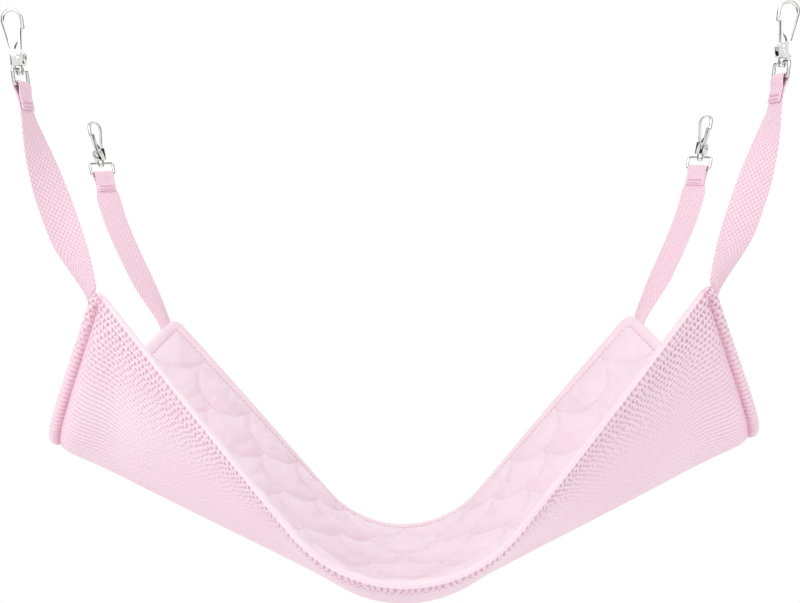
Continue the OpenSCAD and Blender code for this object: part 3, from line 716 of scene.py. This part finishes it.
def makeHemStitches():
    # the topstitch runs round the pad on both faces
    h = hemStitch
    r = h["cornerR"]
    inU, inV = halfL - pad["hem"] - r, halfW - pad["hem"] - r
    a = np.linspace(0, np.pi / 2, h["cornerPoints"])
    cornerU, cornerV = inU + r * np.sin(a), inV + r * np.cos(a)
    lineU = np.concatenate([cornerU, cornerU[::-1], -cornerU, -cornerU[::-1], [inU]])
    lineV = np.concatenate([cornerV, -cornerV[::-1], -cornerV, cornerV[::-1], [inV + r]])
    for name, height in h["heights"].items():
        places, travels, ups = onPadLine([(lineU, lineV)], h["length"] + h["gap"],
                                         lambda u, v: 0 * u + height)
        piece = makeStitches(name, places, travels, ups, h["length"], h["thread"])
        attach(piece, "pad")
    print("hem:", 2 * len(places), "stitches")


# straps: flat webbing that rises from the hem, turns and folds round the eye's bar

strap = {
    "width": 20, "thick": 1.3, "foldL": 15, "narrowL": 5, "tuckL": 3, "convergeL": 8,
    "foldW": 15.9, "barR": 1, "barGap": 0.25, "layerGap": 0.1,
    "sewnIn": 7, "step": 0.75, "countW": 30, "wrapCount": 11, "barShort": 0.2,
    "beadL": 3.3, "beads": 7, "beadDepth": 0.35,        # beads of the weave, staggered, so many across
    "edgeShare": 0.12, "edgeT": 0.55,                   # the selvedge is thinner
    "footShare": 0.62, "gatherL": 42,                   # the sewn end is gathered
    "cup": 2.2, "cupMiddle": 0.4,                       # and cupped
    "slantFade": 3,                                     # a third of the way up, the seam's slant has gone
    "shadeAngle": 60,
    "bendFrom": -2, "bendTo": 10,                       # from the seam, where the strap bends as it swings; nothing here reads these, and the strap is not bent
}
beadW = strap["width"] / strap["beads"]


def bezier(p, t):
    t = t[:, None]
    return (1 - t) ** 3 * p[0] + 3 * t * (1 - t) ** 2 * p[1] + 3 * t * t * (1 - t) * p[2] + t ** 3 * p[3]


def bezierTravel(p, t):
    t = t[:, None]
    return unit((1 - t) ** 2 * (p[1] - p[0]) + 2 * t * (1 - t) * (p[2] - p[1]) + t * t * (p[3] - p[2]))


def flatPart(v, axis):
    return unit(v - np.sum(v * axis, -1, keepdims=True) * axis)


def strapStations(row):
    # middles, half widths and faces along one left-hand strap, from inside the hem to the end of the fold
    k = strap
    swing, tilt = joints[row + "_left_strap_swing"], joints[row + "_left_eye_tilt"]
    foot, bar = np.array(swing["pos_m"]) / mm, np.array(tilt["pos_m"]) / mm
    seam, barAxis = np.array(swing["axis"]), np.array(tilt["axis"])
    lean = unit(bar - foot)
    up = flatPart(lean, barAxis)
    tailSide = np.cross(barAxis, up)
    lay, wrapR = (k["thick"] + k["layerGap"]) / 2, k["barR"] + k["barGap"] + k["thick"] / 2
    zone = k["foldL"] + k["narrowL"]
    top = bar - up * zone - tailSide * lay
    reach = np.linalg.norm(top - foot) / 3
    line = [foot, foot + lean * reach, top - up * reach, top]

    runCount = round(np.linalg.norm(top - foot) / k["step"])
    f = np.arange(runCount) / runCount
    travel = bezierTravel(line, f)
    flatX = flatPart(np.array([1.0, 0, 0]), travel)
    sideX = np.cross(travel, flatX)
    rolls = []
    for width, t in ((seam, travel[0]), (barAxis, up)):
        x = flatPart(np.array([1.0, 0, 0]), t)
        rolls.append(math.atan2(width @ np.cross(t, x), width @ x))
    roll = (rolls[0] + (rolls[1] - rolls[0]) * f)[:, None]
    skew = (seam @ travel[0]) / np.linalg.norm(seam - (seam @ travel[0]) * travel[0])
    slant = skew * (1 - smooth(f * k["slantFade"]))
    across = flatX * np.cos(roll) + sideX * np.sin(roll) + travel * slant[:, None]
    middles, halves, travels = [bezier(line, f)], [across * k["width"] / 2], [travel]

    # inside the hem the webbing lies along the pad
    inward = padAlong(np.array([-halfL]), np.array([np.sign(foot[1]) * pad["strapV"]]))
    depth = np.arange(k["sewnIn"], 0, -k["step"])[:, None]
    middles.insert(0, foot + inward * depth)
    halves.insert(0, np.repeat(seam[None] * k["width"] / 2, len(depth), 0))
    travels.insert(0, np.repeat(-inward, len(depth), 0))

    # up to the bar the webbing narrows to fit the eye
    drop = np.arange(zone, k["barShort"], -k["step"])
    offset = wrapR + (lay - wrapR) * smooth(drop / k["convergeL"])
    widening = fade(drop, k["foldL"] - k["tuckL"], k["narrowL"] + k["tuckL"])
    width = k["foldW"] + (k["width"] - k["foldW"]) * widening
    middles.append(bar - up * drop[:, None] - tailSide * offset[:, None])
    halves.append(barAxis * width[:, None] / 2)
    travels.append(np.repeat(up[None], len(drop), 0))

    # round the bar
    a = np.linspace(0, np.pi, k["wrapCount"])[:, None]
    middles.append(bar + (up * np.sin(a) - tailSide * np.cos(a)) * wrapR)
    halves.append(np.repeat(barAxis[None] * k["foldW"] / 2, len(a), 0))
    travels.append(up * np.cos(a) + tailSide * np.sin(a))

    # and down again behind itself
    tail = drop[drop <= k["foldL"]][::-1]
    offset = wrapR + (lay - wrapR) * smooth(tail / k["convergeL"])
    middles.append(bar - up * tail[:, None] + tailSide * offset[:, None])
    halves.append(np.repeat(barAxis[None] * k["foldW"] / 2, len(tail), 0))
    travels.append(np.repeat(-up[None], len(tail), 0))

    middles, halves, travels = (np.concatenate(x) for x in (middles, halves, travels))
    faces = unit(np.cross(travels, halves))
    lengths = np.concatenate([[0], np.cumsum(np.linalg.norm(np.diff(middles, axis=0), axis=1))])
    return middles, halves, faces, lengths, foot, lean


def makeStrap(row, side):
    k = strap
    name = f"{row}_{side}"
    middles, halves, faces, lengths, foot, lean = strapStations(row)
    piece, s, t = clothShell(name + "_webbing", len(middles) - 1, k["countW"])
    i = np.rint((s + 1) / 2 * (len(middles) - 1)).astype(int)
    flat = np.linalg.norm(halves[i], axis=1) * t
    turn, half = lengths[i] / k["beadL"] * np.pi, flat / beadW * np.pi
    beads = np.sqrt(np.abs(np.sin(turn + half) * np.sin(turn - half)))
    edge = smooth((1 - np.abs(t)) / k["edgeShare"])
    thick = k["thick"] / 2 * (k["edgeT"] + (1 - k["edgeT"]) * edge) - k["beadDepth"] * (1 - beads) * edge
    gather = 1 - fade(lengths[i], k["sewnIn"], k["gatherL"])
    drawn = (1 - k["footShare"]) * gather       # the inner edge draws in towards the corner
    middle = middles[i] + halves[i] * (t * (1 - drawn) + drawn)[:, None]
    middle = middle + faces[i] * (k["cup"] * gather * (t * t - k["cupMiddle"]))[:, None]
    mirror = np.array([1 if side == "left" else -1, 1, 1])
    points = np.concatenate([middle + faces[i] * thick[:, None], middle - faces[i] * thick[:, None]])
    setPoints(piece, points * mirror)
    setCut(piece, np.stack([lengths[i], flat], -1))
    faceOutwards(piece)
    smoothShade(piece, k["shadeAngle"])
    piece.data.materials.append(webbing)
    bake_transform(piece)
    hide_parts(name + "_strap")
    return piece


# metal: the solids with their edges rounded over

metal = {"edge": 0.18, "edgeSteps": 2, "edgeAngle": 32, "flatAngle": 0.5, "weld": 0.001, "leafBend": 0.45}


def roundedCopy(node, material):
    source = frame["nodes"][node]
    piece = source.copy()
    piece.data = source.data.copy()
    piece.name = piece.data.name = node + "_finished"
    piece.parent = None
    for key in list(piece.keys()):
        del piece[key]
    bpy.context.scene.collection.objects.link(piece)
    pickOnly(piece)
    bpy.ops.object.mode_set(mode="EDIT")
    bpy.ops.mesh.select_all(action="SELECT")
    bpy.ops.mesh.remove_doubles(threshold=metal["weld"] * mm)
    bpy.ops.mesh.dissolve_limited(angle_limit=math.radians(metal["flatAngle"]))
    bpy.ops.object.mode_set(mode="OBJECT")
    edge = piece.modifiers.new("edge", "BEVEL")
    edge.width, edge.segments = metal["edge"] * mm, metal["edgeSteps"]
    edge.limit_method, edge.angle_limit = "ANGLE", math.radians(metal["edgeAngle"])
    applyModifiers(piece)
    smoothShade(piece, metal["edgeAngle"])
    piece.data.materials.clear()
    piece.data.materials.append(material)
    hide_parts(node)
    return piece


def bendSpring(leaf, corner):
    # the foot of the leaf sits in the hook's slot and its tip against the gate; here the leaf keeps its
    # shape: its foot and tip are found but not used, and its place is baked in
    up = np.array(joints[corner + "_swivel"]["axis"])
    points = np.array([v.co for v in leaf.data.vertices])
    heights = points @ up * np.sign(up[2])
    foot, tip = points[heights.argmin()], points[heights.argmax()]
    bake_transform(leaf)


# camera, floor and light, with places in metres

view = {
    "lens": 56.4, "sensor": 36, "clip": 0.01,
    "place": (-0.0026, -0.880, -0.2258), "pitch": 4.70, "roll": 0.6,
}
stage = {
    "floorZ": -0.60, "floorSize": 14, "floor": "#F4F2F3",
    "white": "#FFFFFF", "paleFrom": 0.3, "paleTo": 0.9,   # the floor goes over into white between these
}


def makeCamera():
    deselect()
    turn = (math.radians(90 + view["pitch"]), math.radians(view["roll"]), 0)
    bpy.ops.object.camera_add(location=view["place"], rotation=turn)
    camera = bpy.context.object
    camera.data.lens = view["lens"]
    camera.data.sensor_width = view["sensor"]
    camera.data.clip_start = view["clip"]
    bpy.context.scene.camera = camera


def seenDirectly(tree):
    # 1 for rays that show the background itself: from the camera, or by a mirror or glass
    path = addNode(tree, "LightPath").node.outputs
    seen = addNode(tree, "Math", {0: path["Is Camera Ray"], 1: path["Is Glossy Ray"]}, operation="MAXIMUM")
    return addNode(tree, "Math", {0: seen, 1: path["Is Transmission Ray"]}, operation="MAXIMUM")


def makeFloor():
    # a pale floor that keeps the shadow near the object and goes over into white further off
    deselect()
    bpy.ops.mesh.primitive_plane_add(size=stage["floorSize"], location=(0, 0, stage["floorZ"]))
    floor = bpy.context.object
    floor.name = "floor"
    material, tree = newMaterial("pale floor")
    place = addNode(tree, "TexCoord").node.outputs["Object"]
    away = addNode(tree, "VectorMath", {0: place}, operation="LENGTH").node.outputs["Value"]
    far = addNode(tree, "MapRange", {"Value": away, "From Min": stage["paleFrom"],
                                     "From Max": stage["paleTo"]}, interpolation_type="SMOOTHSTEP")
    far = addNode(tree, "Math", {0: far, 1: seenDirectly(tree)}, operation="MULTIPLY")
    pale = addNode(tree, "BsdfDiffuse", {"Color": colour(stage["floor"])})
    white = addNode(tree, "Emission", {"Color": colour(stage["white"]), "Strength": 1.0})
    addNode(tree, "OutputMaterial", {"Surface": addNode(tree, "MixShader", {0: far, 1: pale, 2: white})})
    floor.data.materials.append(material)


studio = {
    "white": "#FFFFFF", "strength": 0.74, "aim": (0, 0, -0.2),
    # place, size and power of each lamp
    "key": ((-1.1, -1.7, 0.9), 1.4, 17.2),
    "fill": ((1.6, -1.2, 0.3), 1.4, 5),
    "back": ((0.2, 1.6, 1.2), 1.2, 7),
}


def makeLight():
    # an even pale surround and three soft lamps; where the surround itself is seen, it is white
    world = bpy.data.worlds.new("studio")
    bpy.context.scene.world = world
    world.use_nodes = True
    tree = world.node_tree
    tree.nodes.clear()
    soft = addNode(tree, "Background", {"Color": colour(studio["white"]), "Strength": studio["strength"]})
    white = addNode(tree, "Background", {"Color": colour(stage["white"]), "Strength": 1.0})
    both = addNode(tree, "MixShader", {0: seenDirectly(tree), 1: soft, 2: white})
    addNode(tree, "OutputWorld", {"Surface": both})
    for name in ("key", "fill", "back"):
        place, size, power = studio[name]
        deselect()
        bpy.ops.object.light_add(type="AREA", location=place)
        lamp = bpy.context.object
        lamp.name = name
        lamp.data.size, lamp.data.energy = size, power
        lamp.rotation_euler = (Vector(studio["aim"]) - Vector(place)).to_track_quat("-Z", "Y").to_euler()


flags = {
    "x": 1.1, "z": 0.1, "height": 2.2, "dark": "#1C1C1E",
    "spans": {"front": (-0.9, -0.1), "back": (0.5, 2.6)},   # from front to back, with a light gap between
}


def makeFlags():
    # dark cards at both sides, seen only by mirrors, give polished metal its dark edges
    material, tree = newMaterial("dark card")
    card = addNode(tree, "BsdfDiffuse", {"Color": colour(flags["dark"])})
    addNode(tree, "OutputMaterial", {"Surface": card})
    for side, sign in (("left", -1), ("right", 1)):
        for part, (near, far) in flags["spans"].items():
            deselect()
            place = (sign * flags["x"], (near + far) / 2, flags["z"])
            bpy.ops.mesh.primitive_plane_add(size=1, location=place, rotation=(0, math.pi / 2, 0))
            flag = bpy.context.object
            flag.name = f"flag_{side}_{part}"
            flag.scale = (flags["height"], far - near, 1)
            flag.visible_camera = flag.visible_diffuse = False
            flag.visible_shadow = flag.visible_transmission = False
            flag.data.materials.append(material)


makeCamera()
makeFloor()
makeLight()
makeFlags()
bpy.context.scene.view_settings.view_transform = "Standard"
print("camera, floor and light ready")

webbing, sewingThread = webbingMaterial(), threadMaterial()
nickel, spring = nickelMaterial(), springMaterial()
arcs = quiltArcs()
meshPiece = makeMeshPanel()
quiltPiece = makeQuiltedPanel(arcs)
waddingPiece = makeWadding(arcs)
makeQuiltStitches(arcs)
makeHemStitches()

corners = [(row, side) for row in ("front", "back") for side in ("left", "right")]
straps = [makeStrap(row, side) for row, side in corners]
for row, side in corners:
    name = f"{row}_{side}"
    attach(roundedCopy(name + "_eye", nickel), name + "_eye")
    for part in ("_hook", "_swivel_rivet", "_gate_pin"):
        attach(roundedCopy(name + part, nickel), name + "_hook")
    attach(roundedCopy(name + "_gate", nickel), name + "_gate")
    bendSpring(roundedCopy(name + "_gate_spring", spring), name)
    stitches = frame["nodes"][name + "_stitching"]
    stitches.data.materials.clear()
    stitches.data.materials.append(sewingThread)
print("straps and hooks ready")
